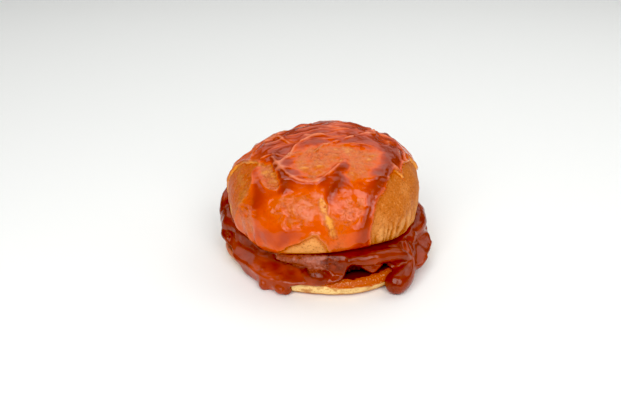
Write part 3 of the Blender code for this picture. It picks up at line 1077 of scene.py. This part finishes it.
@dataclass(frozen=True)
class Crown:
    """The bread of the crown and the sauce sheet that lies on it."""

    dome: Dome
    sheet: Sheet
    lip_angle: float = 112.0  # where on the ball the lip's lowest line lies
    ring_angle: float = 96.0  # and the widest ring
    bread_cuts: tuple[int, int] = (23, 3)
    sauce_cuts: tuple[int, int] = (31, 3)
    wall: float = 0.8  # how far the sheet reaches into the bread
    spare: float = 1.0  # how far outside its edge the sheet is kept
    lip_spare: float = 1.0  # and how far above the lip's lowest line it ends, as an angle on the ball

    def tilts(self, polar: np.ndarray) -> np.ndarray:
        """The dome's tilt for each angle from the top of the ball."""
        return np.interp(polar, (0.0, self.ring_angle, self.lip_angle), (0.0, 90.0, 180.0))

    def bread(self) -> bpy.types.Object:
        """Models the bread, with its flat cut face below.

        Returns:
            The piece.
        """
        piece, azimuth, polar = add_ball("crown_bread", self.bread_cuts)
        tilt = self.tilts(polar)
        bare = self.dome.points(azimuth, tilt)
        clear = self.dome.clear_of_lip(azimuth, bare)
        crumb = 0.16 * clumps(bare, 2.0, 3, seed=5.0)
        relief = (self.dome.crust(azimuth, bare) + crumb) * clear
        points = bare + self.dome.outward(bare) * relief[:, None]
        under = polar > self.lip_angle
        share = np.clip((180.0 - polar) / (180.0 - self.lip_angle), 0.0, 1.0)
        height = self.dome.underside_height(azimuth, share)
        points[under] = place(azimuth, share * self.dome.lip_radius(azimuth), height)[under]
        write_points(piece, points)
        # Sauce soaks in under the sheet and beside it, at the lip, and in streaks at the left side.
        reach = self.sheet.reach(azimuth, tilt, bare)
        glazed = bell(azimuth, -74.0, 22.0) * ease(clumps(bare, (5.0, 5.0, 12.0), 2, seed=8.0), -0.45, 0.2)
        wet_lip = 0.75 * (1.0 - ease(points[:, 2] - self.dome.edge_height(azimuth), 0.4, 2.4))
        paint(piece, "soaked", 0.85 * ease(reach, -2.2, 0.4) + wet_lip + glazed)
        # Painted shade: the crust is painted browner in its upright grooves at the front right.
        painted_groove_shade = 1.6 * self.dome.grooves(azimuth, bare)
        paint(piece, "browned", 0.1 + 0.8 * ease(points[:, 2], 21.0, 36.0) + painted_groove_shade)
        bpy.ops.object.shade_smooth()
        piece.data.materials.append(CROWN_BREAD.material())
        return piece

    def sauce(self) -> bpy.types.Object:
        """Models the sauce sheet: the dome's form, cut to the sheet's outline and raised by its depth.

        Returns:
            The piece.
        """
        piece, azimuth, polar = add_ball("crown_sauce", self.sauce_cuts)
        tilt = self.tilts(polar)
        bare = self.dome.points(azimuth, tilt)
        clear = self.dome.clear_of_lip(azimuth, bare)
        reach = self.sheet.reach(azimuth, tilt, bare)
        depth, folds = self.sheet.depth(azimuth, tilt, bare, reach)
        inner = np.clip(reach / self.sheet.edge_width, 0.0, 1.0)
        raised = np.where(reach > 0.0, (depth + folds) * np.sqrt(1.0 - (1.0 - inner) ** 2), 1.3 * reach)
        relief = self.dome.crust(azimuth, bare) * clear + raised * (0.25 + 0.75 * clear)
        write_points(piece, bare + self.dome.outward(bare) * relief[:, None])
        # Painted highlight and shade: the colouring depth is lowered on raised folds, ridges and the edge's
        # bead, and raised in the fine wrinkles' dips, so folds are painted lighter and dips darker.
        paint(piece, "depth", (depth - 0.6 * folds) * inner)
        paint(piece, "crest", folds * inner)
        self.cut(piece, (reach > -self.spare) & (polar < self.lip_angle - self.lip_spare))
        apply_modifier(piece, "SOLIDIFY", thickness=self.wall * MM, offset=-1.0)
        bpy.ops.object.shade_smooth()
        piece.data.materials.append(CROWN_SAUCE.material())
        return piece

    @staticmethod
    def cut(piece: bpy.types.Object, keep: np.ndarray) -> None:
        """Deletes points of a piece.

        Args:
            piece: the piece.
            keep: for each of its points, whether it stays.
        """
        bpy.ops.object.mode_set(mode="EDIT")
        bpy.ops.mesh.select_mode(type="VERT")
        bpy.ops.mesh.select_all(action="DESELECT")
        bpy.ops.object.mode_set(mode="OBJECT")
        piece.data.vertices.foreach_set("select", ~keep)
        bpy.ops.object.mode_set(mode="EDIT")
        bpy.ops.mesh.delete(type="VERT")
        bpy.ops.object.mode_set(mode="OBJECT")


# ---------------------------------------------------------------- heel and patty


@dataclass(frozen=True)
class Heel:
    """The lower half of the bun, pale at its side and stained by the sauce on top."""

    radius: float = 47.6
    height: float = 8.2
    # Where it bulges, or draws in: azimuth, spread, how far.
    swells: Stations = ((28.0, 26.0, 1.7), (-74.0, 15.0, 1.6), (-51.0, 14.0, -1.4))
    shoulder: float = 4.8  # how far in the flat top starts
    foot: float = 3.0  # how far in the flat underside starts
    turns: int = 480

    def rim(self, azimuth: np.ndarray) -> np.ndarray:
        """Radius of the heel's side."""
        swell = sum(rise * bell(azimuth, centre, spread) for centre, spread, rise in self.swells)
        return self.radius + swell + 0.5 * wobble(azimuth, 2.2, 3.1)

    def build(self) -> bpy.types.Object:
        """Models the heel.

        Returns:
            The piece.
        """
        azimuth = np.arange(self.turns) * 360.0 / self.turns
        wide, top = self.rim(azimuth), self.height
        inner = [(share * (wide - self.shoulder), top) for share in np.linspace(0.0, 1.0, 22)]
        side = (
            (self.shoulder, top), (2.1, top - 0.8), (0.5, 6.0), (0.0, 4.2), (0.3, 2.2), (1.4, 0.7),
            (self.foot, 0.0),
        )  # fmt: skip
        outer = [(wide - inset, height) for inset, height in curve_through(np.array(side), 6, closed=False)]
        under = [(share * (wide - self.foot), 0.0) for share in np.linspace(1.0, 0.0, 12)]
        rows = [place(azimuth, radius, height) for radius, height in inner + outer + under]
        piece = add_wrap("heel_bread", np.stack(rows, axis=1))
        self.dress(piece)
        return piece

    def dress(self, piece: bpy.types.Object) -> None:
        """Gives the heel its crumb, its stains and its finish.

        Args:
            piece: the heel.
        """
        points = read_points(piece)
        turned, radius, height = cylinder_places(points)
        lifted = ease(height, 0.3, 1.6)
        crumb = 0.16 * clumps(points, 2.6, 3, seed=1.0) + 0.22 * clumps(points, (9, 9, 3), seed=6.0)
        points += read_normals(piece) * (crumb * lifted)[:, None]
        write_points(piece, points)
        rim_bite = 0.9 * clumps(points, (5, 5, 2), 2, seed=8.0)
        # The stain starts low at the front right, runs down at the left, and is darkest further in.
        low = 1.5 * bell(turned, 24.0, 18.0)
        stain = ease(height + rim_bite + low, 4.8, 6.2)
        stain += 0.9 * bell(turned, -68.0, 16.0) * ease(height, 1.0, 3.5)
        inward = self.rim(turned) - radius + 1.4 * clumps(points, 4.0, 2, seed=13.0)
        stain += 1.4 * ease(inward, 1.8, 3.6) * ease(height, 6.6, 7.6)
        paint(piece, "soaked", stain)
        blotches = 0.5 * (clumps(points, 3.0, seed=2.0) > 0.32)
        # The heel is painted darker towards the bottom, with brown blotches.
        paint(piece, "browned", 0.15 + 0.9 * (1.0 - ease(height, 0.4, 2.4)) + blotches)
        bpy.ops.object.shade_smooth()
        piece.data.materials.append(HEEL_BREAD.material())


@dataclass(frozen=True)
class Patty:
    """The thin beef patty, craggy round its edge."""

    dome: Dome
    radius: float = 43.4
    bottom: float = 8.6
    top: float = 17.4
    shoulder: float = 7.0  # how far in the flat top starts
    foot: float = 2.0  # how far in the flat underside starts
    turns: int = 480

    def rim(self, azimuth: np.ndarray) -> np.ndarray:
        """The patty's side, drawn back where the crown's lip droops.

        Args:
            azimuth: N azimuths.

        Returns:
            N radii.
        """
        crags = 0.9 * wobble(azimuth, 2.4, 7.7) + 0.35 * wobble(azimuth, 9.0, 1.9)
        drawn_back = sum(back * bell(azimuth, centre, spread) for centre, spread, _, back in self.dome.droops)
        return self.radius - drawn_back + crags

    def build(self) -> bpy.types.Object:
        """Models the patty.

        Returns:
            The piece.
        """
        azimuth = np.arange(self.turns) * 360.0 / self.turns
        wide = self.rim(azimuth)
        inner = [(share * (wide - self.shoulder), self.top) for share in np.linspace(0.0, 1.0, 16)]
        side = (
            (self.shoulder, self.top), (2.7, 16.8), (0.8, 15.0), (0.0, 13.0), (0.2, 11.4), (0.5, 9.8),
            (self.foot, self.bottom),
        )  # fmt: skip
        outer = [(wide - inset, height) for inset, height in curve_through(np.array(side), 6, closed=False)]
        under = [(share * (wide - self.foot), self.bottom) for share in np.linspace(1.0, 0.0, 10)]
        rows = [place(azimuth, radius, height) for radius, height in inner + outer + under]
        piece = add_wrap("patty_beef", np.stack(rows, axis=1))
        points = read_points(piece)
        height = points[:, 2]
        free = ease(height, self.bottom, self.bottom + 1.2) * (1.0 - ease(height, self.top - 1.2, self.top))
        notches = np.clip(clumps(points, 3.6, 2, seed=5.0), 0.0, 1.0)
        crags = 0.5 * clumps(points, 2.8, 3, seed=3.0) - 0.55 * notches
        points += read_normals(piece) * (crags * free)[:, None]
        write_points(piece, points)
        bpy.ops.object.shade_smooth()
        piece.data.materials.append(PATTY_MEAT.material())
        return piece


# ---------------------------------------------------------------- the draped sauce


@dataclass(frozen=True)
class Drape:
    """The sauce that runs over the patty and hangs down round it in lobes and drips."""

    dome: Dome
    heel: Heel
    patty: Patty
    gap: float = 0.4
    rim_gap: float = 0.8
    film: float = 1.0
    shoulder: float = 5.0  # height of the rounded upper edge
    shoulder_share: float = 0.45  # the most of the drape's own height that an edge takes
    hem_rounding: float = 3.2  # height of the rounded lower edge
    lobe_rise: float = 1.3  # a fat lobe swells this far above the crown's lip
    plate: int = 13  # number of the backing point on the plate
    turns: int = 480
    face_steps: int = 34
    voxel: float = 0.54
    smoothing: int = 7
    thinnest: float = 0.1  # depth of the film over the patty, for its colour
    floor_gap: float = 0.03
    # Azimuth, the backing point that the lower edge reaches, and the bulge over the film.
    hem: Stations = (
        (-100, 8.8, 4.6), (-88, 9.1, 5.4), (-79, 9.0, 4.6), (-72, 9.0, 2.6), (-66, 9.0, 2.4), (-62, 9.5, 1.6),
        (-52, 13.0, 1.0), (-46, 14.0, 1.0), (-31, 14.0, 1.0), (-27, 13.1, 0.9), (-23, 13.8, 0.9),
        (-18, 10.8, 0.6), (-13, 10.0, 0.6), (-5, 9.8, 0.8), (2, 9.4, 0.8), (7, 8.9, 0.8), (9.5, 8.2, 0.9),
        (11.5, 5.6, 1.0),
        (14, 4.9, 1.1), (18, 4.9, 1.3), (22, 5.6, 1.6), (25, 6.7, 1.7), (28, 6.6, 1.7), (31, 5.6, 1.7),
        (34, 5.4, 1.8), (36, 6.2, 1.9), (40.5, 14.0, 3.2), (56, 14.0, 3.9), (66, 11.4, 4.4), (76, 9.5, 4.8),
        (86, 9.0, 4.2), (98, 9.4, 2.4), (108, 9.2, 3.2), (120, 14.0, 4.2), (133, 14.0, 3.4), (145, 9.2, 1.6),
        (153, 7.4, 1.4), (162, 9.6, 3.0),
        (173, 14.0, 4.4), (181, 14.0, 3.0), (193, 9.2, 1.4), (206, 9.2, 2.4), (218, 14.0, 3.8),
        (229, 14.0, 3.2), (241, 9.2, 1.8), (252, 9.0, 3.4),
    )  # fmt: skip
    # Folds that stand up on the drape: height, half-width, then stations of (azimuth, height).
    folds: tuple[tuple[float, float, Stations], ...] = (
        (1.8, 2.6, ((12, 17.5), (24, 18), (34, 17.5), (41, 16), (46, 12.5), (47, 10))),
        (1.8, 2.0, ((65, 17), (64, 12), (58, 8), (53, 5.5))),
        (0.8, 2.4, ((82, 18), (79, 12), (74, 7))),
        (0.9, 2.2, ((-60, 13), (-45, 9), (-30, 5.5), (-23, 2))),
        (1.5, 2.0, ((-92, 17), (-82, 13), (-74, 15))),
        (1.7, 2.2, ((104, 18), (114, 12), (124, 6))),
        (1.7, 2.2, ((190, 17), (183, 10), (176, 5))),
        (1.5, 2.0, ((212, 17), (218, 10), (224, 5))),
        # Narrow lit rims on those folds.
        (0.6, 0.8, ((62, 18.5), (66, 13), (65.5, 10), (59, 6.5), (52, 4))),
        (0.6, 0.8, ((-64, 17), (-66, 12), (-60, 8))),
    )
    # Drips that stand on the plate: azimuth, half-width, reach beyond the drape, top height.
    drips: Stations = (
        (-34, 4.6, 1.4, 6.0), (-23, 4.0, 1.2, 6.0), (43, 7.5, 3.0, 7.5),
        (126, 7.0, 2.4, 7.0), (177, 6.5, 3.2, 7.0), (224, 6.5, 2.2, 6.0),
    )  # fmt: skip
    # Fat strands laid on the drape: stations of (azimuth, distance from the axis, height, half-width).
    strands: tuple[Stations, ...] = (
        # The roll that hangs over the window, and its wavy lower lip.
        (
            (9, 43.6, 16.9, 1.5), (17, 45.4, 16.8, 2.8), (26, 46.2, 16.5, 3.3), (34, 46.8, 16.1, 3.3),
            (41, 48.0, 14.6, 3.1), (45.5, 49.0, 12.0, 2.6), (47.5, 49.6, 9.2, 1.9),
        ),
        (
            (8, 44.0, 16.6, 0.9), (14, 45.0, 16.0, 1.2), (19, 45.8, 14.6, 1.4), (23, 46.2, 12.4, 1.7),
            (26, 46.4, 10.8, 1.9), (29, 46.2, 11.8, 1.6), (33, 46.2, 13.5, 1.4), (37, 46.8, 12.8, 1.6),
            (42, 48.4, 10.2, 1.7),
        ),
        # The big drip at the front right, which leans to the left over the heel.
        (
            (54, 43.4, 13.0, 2.4), (50.5, 46.6, 10.0, 3.4), (44, 50.6, 6.4, 4.7), (38.5, 52.4, 4.6, 5.3),
            (36, 52.6, 4.0, 5.3),
        ),
        # And the sauce that fills its right side.
        ((58, 44.6, 10.0, 2.6), (51, 48.0, 6.4, 3.5), (46, 49.8, 4.0, 3.8)),
        # The two drips at the front left.
        ((-36, 46.8, 6.5, 2.2), (-34.5, 48.0, 4.2, 2.7), (-33.5, 48.8, 2.2, 3.0)),
        ((-25, 46.8, 6.5, 2.2), (-23, 47.4, 4.2, 2.7), (-21.5, 47.8, 2.2, 2.9)),
        # The swelling under the patty's strip, and the roll along that strip.
        ((-13, 43.2, 8.4, 2.4), (-5, 45.4, 9.0, 4.4), (3, 42.6, 8.6, 2.4)),
        (
            (-30, 42.4, 13.2, 1.2), (-22, 42.2, 14.2, 1.9), (-13, 42.4, 14.6, 2.1), (-4, 43.2, 14.6, 1.9),
            (4, 43.8, 15.0, 1.2),
        ),
        # The lobe at the left, which leans against the crown.
        (
            (-113, 46.6, 20.0, 2.2), (-105, 47.4, 21.4, 2.9), (-97, 48.0, 19.8, 3.2), (-90, 48.2, 16.2, 3.1),
            (-84, 47.6, 12.6, 2.2),
        ),
        ((-83, 47.6, 11.6, 1.8), (-77, 48.6, 9.9, 2.4), (-72.5, 48.0, 9.2, 1.9)),
    )  # fmt: skip
    # Where the sauce is a dark film over the patty: azimuth, spread, and the height it starts at.
    window: tuple[float, float, float] = (-15.5, 21.0, 11.6)

    def heel_face(self, azimuth: np.ndarray) -> np.ndarray:
        """Radius that the sauce keeps to at the heel."""
        return self.heel.rim(azimuth) + self.rim_gap

    def patty_face(self, azimuth: np.ndarray) -> np.ndarray:
        """Radius that the sauce keeps to at the patty."""
        return self.patty.rim(azimuth) + self.gap

    def behind(self, azimuth: np.ndarray, height: np.ndarray) -> np.ndarray:
        """Radius of what lies behind the sauce, the heel below and the patty above."""
        patty, heel = self.patty_face(azimuth), self.heel_face(azimuth)
        return heel + (patty - heel) * ease(height, 6.5, 10.5)

    def backing(self, azimuth: np.ndarray) -> np.ndarray:
        """What the sauce lies against, from the patty's top to the plate.

        Args:
            azimuth: N azimuths.

        Returns:
            N by 14 by 2: the radius and height of the backing points.
        """
        patty, heel = self.patty_face(azimuth), self.heel_face(azimuth)
        top, shelf = self.patty.top + self.gap, self.heel.height + self.gap
        table = (
            (0.0 * patty, top), (0.45 * patty, top), (patty - 7.0, top), (patty - 2.6, top - 0.5),
            (patty - 0.7, top - 2.3), (patty, self.patty.top - 4.4), (patty, 11.0), (patty, shelf + 0.3),
            (np.maximum(patty + 0.4, heel - 4.6), shelf), (np.maximum(patty + 1.2, heel - 1.9), shelf - 0.8),
            (heel - 0.4, 6.2), (heel, 4.2), (heel - 0.2, 2.2), (heel - 0.5, 0.0),
        )  # fmt: skip
        pairs = [np.stack(np.broadcast_arrays(radius, height), -1) for radius, height in table]
        return np.stack(pairs, axis=1)

    def filmy(self, azimuth: np.ndarray, height: np.ndarray) -> np.ndarray:
        """1 where the sauce is a dark film over the patty."""
        centre, spread, start = self.window
        return plateau(azimuth, centre, spread) * ease(height, start - 1.0, start + 0.8)

    def face_radius(self, azimuth: np.ndarray, height: np.ndarray, bulge: np.ndarray) -> np.ndarray:
        """Radius of the drape's outer face.

        Args:
            azimuth: N azimuths.
            height: N heights.
            bulge: how fat the drape is at each azimuth.

        Returns:
            N radii, before the edges are rounded.
        """
        swell = bulge * (0.15 + 0.85 * ease(height, 2.0, 10.0)) * (1.0 - self.filmy(azimuth, height))
        points = place(azimuth, self.heel.radius, height)
        folds = np.zeros(len(points))
        for rise, half, stations in self.folds:
            path = curve_through(np.array(stations, float), 5, closed=False)
            way = place(path[:, 0], self.heel.radius, path[:, 1])
            folds += rise * np.exp(-((distance_to(points, way) / half) ** 2))
        drips = sum(
            reach * plateau(azimuth, centre, half) * (1.0 - ease(height, 0.35 * top, top))
            for centre, half, reach, top in self.drips
        )
        waves = 0.35 * clumps(points, (8.0, 8.0, 7.0), 2, seed=1.0) * (0.6 + 0.35 * bulge)
        return self.behind(azimuth, height) + self.film + swell + folds + drips + waves

    def sections(self) -> np.ndarray:
        """The drape's sections round the burger: under the crown, over its shoulder, down, and back in.

        Returns:
            Turns by points by 3.
        """
        azimuth = np.arange(self.turns) * 360.0 / self.turns
        closed = self.hem + ((self.hem[0][0] + 360.0, *self.hem[0][1:]),)
        where = (azimuth - self.hem[0][0]) % 360.0 + self.hem[0][0]
        stops = np.array([station[0] for station in closed], float)
        reach = np.interp(where, stops, [station[1] for station in closed])
        bulge = np.interp(where, stops, [station[2] for station in closed])
        backing = self.backing(azimuth)
        lip = self.dome.lip_radius(azimuth)
        lip_height = self.dome.edge_height(azimuth) - self.gap
        rows = []
        for share in (0.0, 0.25, 0.49, 0.7, 0.85, 0.89, 0.92, 0.95, 0.975, 1.0):
            rows.append((share * lip, self.dome.underside_height(azimuth, np.array(share)) - self.gap))

        # The hem lies at its backing point, or stands on the plate past the last of them.
        number = np.clip(reach.astype(int), 0, self.plate - 1)
        here, after = backing[np.arange(self.turns), number], backing[np.arange(self.turns), number + 1]
        hem = here + (after - here) * (np.minimum(reach, self.plate) - number)[:, None]
        face_foot = self.face_radius(azimuth, 0.0 * azimuth, bulge)
        foot = np.maximum(backing[:, self.plate, 0] + 0.3, face_foot - 1.0)
        standing = np.clip(reach - self.plate, 0.0, 1.0)
        hem_radius = hem[:, 0] + (foot - hem[:, 0]) * standing
        hem_height = np.where(standing > 0.0, 0.0, hem[:, 1])

        rounding = np.minimum(self.hem_rounding, self.shoulder_share * (lip_height - hem_height))
        drop = np.minimum(self.shoulder, self.shoulder_share * (lip_height - hem_height))
        start = lip_height - drop
        outer = []
        for share in np.linspace(0.0, 1.0, self.face_steps):
            height = start + (hem_height - start) * share
            full = self.face_radius(azimuth, height, bulge)
            depth = np.clip(1.0 - (height - hem_height) / rounding, 0.0, 1.0)
            outer.append((hem_radius + (full - hem_radius) * np.sqrt(1.0 - depth**2), height))

        # The shoulder is a quarter of an ellipse, from the crown's lip out and down to the outer face.
        wide = outer[0][0]
        crest = lip + 0.35 * (wide - lip)
        rise = self.lobe_rise * ease(wide, 47.5, 51.0) + 0.35 * wobble(azimuth, 5.0, 6.1)
        for angle in np.radians((12.0, 28.0, 45.0, 62.0, 78.0)):
            rows.append((crest + (wide - crest) * np.sin(angle), start + (drop + rise) * np.cos(angle)))
        rows += outer
        for point in range(self.plate, -1, -1):
            kept = point <= reach
            radius = np.where(kept, backing[:, point, 0], hem_radius)
            rows.append((radius, np.where(kept, backing[:, point, 1], hem_height)))
        return np.stack([place(azimuth, radius, height) for radius, height in rows], axis=1)

    def build(self) -> bpy.types.Object:
        """Models the drape: its sheet and its strands, melted into one and worked over.

        Returns:
            The piece.
        """
        piece = add_wrap("draped_sauce", self.sections())
        laid = [add_strand(f"strand_{number}", way) for number, way in enumerate(self.strands)]
        bpy.ops.object.select_all(action="DESELECT")
        for strand in laid:
            strand.select_set(True)
        piece.select_set(True)
        bpy.context.view_layer.objects.active = piece
        bpy.ops.object.join()
        apply_modifier(piece, "REMESH", mode="VOXEL", voxel_size=self.voxel * MM)
        apply_modifier(piece, "SMOOTH", factor=0.5, iterations=self.smoothing)
        self.dress(piece)
        return piece

    def dress(self, piece: bpy.types.Object) -> None:
        """Gives the drape its fine relief, its foot on the plate, its depth and its finish.

        Args:
            piece: the drape.
        """
        points = read_points(piece)
        azimuth, radius, height = cylinder_places(points)
        outside = ease(radius - self.behind(azimuth, height), 0.2, 0.8)
        ragged = height + 1.3 * clumps(points, 4.0, 2, seed=6.0)
        film = self.filmy(azimuth + 16.0 * clumps(points, 4.5, 3, seed=1.0), ragged)
        crags = 0.45 * clumps(points, 2.8, 3, seed=4.0) * film + 0.2 * clumps(points, 3.4, 2, seed=2.0)
        points += read_normals(piece) * (crags * outside)[:, None]
        points[:, 2] = np.maximum(points[:, 2], self.floor_gap)
        write_points(piece, points)
        # Painted light and sheen: the sauce is painted brighter and paler low at the front left.
        painted_front_light = bell(azimuth, -34.0, 30.0) * (1.0 - ease(height, 7.0, 13.0))
        depth = 1.6 + 0.5 * clumps(points, 8.0, 2, seed=3.0) + 0.5 * painted_front_light
        paint(piece, "depth", depth + (self.thinnest - depth) * film)
        bpy.ops.object.shade_smooth()
        piece.data.materials.append(DRAPE_SAUCE.material())


# ---------------------------------------------------------------- light, floor and camera


class Softbox(Enum):
    """The soft lights: azimuth, elevation, width and height in m, power in W."""

    LEFT = (-29.0, 42.0, 0.44, 0.58, 2.9)
    RIGHT = (28.0, 40.0, 0.36, 0.54, 2.2)
    SIDE = (100.0, 42.0, 0.36, 0.5, 0.8)
    BACK = (184.0, 56.0, 1.3, 0.7, 3.4)


@dataclass(frozen=True)
class Studio:
    """A plain pale floor, plain soft light, and the camera."""

    light_distance: float = 0.75  # in m
    world_strength: float = 0.15
    black_level: float = 0.027
    camera_distance: float = 345.0
    elevation: float = 32.0
    focal_pixels: float = 700.0
    image_width: float = 621.0
    image_centre: tuple[float, float] = (310.5, 210.0)
    base_pixel: tuple[float, float] = (326.0, 239.0)
    floor_shade: tuple[float, float, float, float] = (0.97, 0.98, 0.96, 1.0)
    floor_roughness: float = 0.6
    floor_width: float = 6.0  # in m
    floor_drop: float = 0.2

    def build(self) -> None:
        """Adds the floor, the lights, the world, the view's black level and the camera."""
        self.floor()
        for box in Softbox:
            self.light(box)
        world = bpy.data.worlds.new("studio")
        bpy.context.scene.world = world
        world.use_nodes = True
        background = world.node_tree.nodes["Background"]
        background.inputs["Color"].default_value = (1.0, 1.0, 1.0, 1.0)
        background.inputs["Strength"].default_value = self.world_strength
        view = bpy.context.scene.view_settings
        view.view_transform = "Standard"
        view.use_curve_mapping = True
        view.curve_mapping.black_level = (self.black_level,) * 3
        self.camera()

    def floor(self) -> None:
        """A wide pale floor, which isn't part of the object."""
        below = (0.0, 0.0, -self.floor_drop * MM)
        bpy.ops.mesh.primitive_plane_add(size=self.floor_width, location=below)
        floor = start_piece("floor")
        material, _, shader = new_material("pale_floor")
        shader.inputs["Base Color"].default_value = self.floor_shade
        shader.inputs["Roughness"].default_value = self.floor_roughness
        floor.data.materials.append(material)

    def light(self, box: Softbox) -> None:
        """Adds one soft light that looks at the burger.

        Args:
            box: which of them.
        """
        azimuth, elevation, width, height, power = box.value
        rise = math.radians(elevation)
        towards = place(np.array(azimuth), np.array(math.cos(rise)), np.array(math.sin(rise)))
        away = towards * self.light_distance
        bpy.ops.object.light_add(type="AREA", location=away)
        lamp = bpy.context.object
        lamp.name = f"softbox_{box.name.lower()}"
        lamp.data.shape = "RECTANGLE"
        lamp.data.size, lamp.data.size_y = width, height
        lamp.data.energy = power
        lamp.visible_camera = False
        lamp.rotation_euler = Vector(away).to_track_quat("Z", "Y").to_euler()

    def camera(self) -> None:
        """The camera, aimed at the middle of the burger's foot and shifted to the framing."""
        rise = math.radians(self.elevation)
        away = Vector((0.0, -math.cos(rise), math.sin(rise))) * self.camera_distance * MM
        bpy.ops.object.camera_add(location=away)
        camera = bpy.context.object
        camera.rotation_euler = away.to_track_quat("Z", "Y").to_euler()
        camera.data.lens = self.focal_pixels / self.image_width * camera.data.sensor_width
        camera.data.shift_x = (self.image_centre[0] - self.base_pixel[0]) / self.image_width
        camera.data.shift_y = (self.base_pixel[1] - self.image_centre[1]) / self.image_width
        bpy.context.scene.camera = camera


# ---------------------------------------------------------------- putting it together


def hand_over(piece: bpy.types.Object, node: str) -> None:
    """Says what a piece stands for, and reports it.

    Args:
        piece: the piece.
        node: the solid that it replaces.
    """
    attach(piece, "root")
    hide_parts(node)
    piece.data.calc_loop_triangles()
    LOG.info("%s: %d triangles, stands for %s", piece.name, len(piece.data.loop_triangles), node)


def main() -> None:
    """Builds the burger, the light and the camera."""
    logging.basicConfig(level=logging.INFO, format="%(name)s %(message)s")
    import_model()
    bpy.ops.object.select_all(action="DESELECT")
    dome, heel = Dome(), Heel()
    patty = Patty(dome)
    crown = Crown(dome, Sheet(dome))
    hand_over(crown.bread(), "bun_crown")
    hand_over(crown.sauce(), "bun_crown")
    hand_over(heel.build(), "bun_heel")
    hand_over(patty.build(), "patty")
    hand_over(Drape(dome, heel, patty).build(), "sauce_layer")
    Studio().build()


if __name__ == "__main__":
    main()
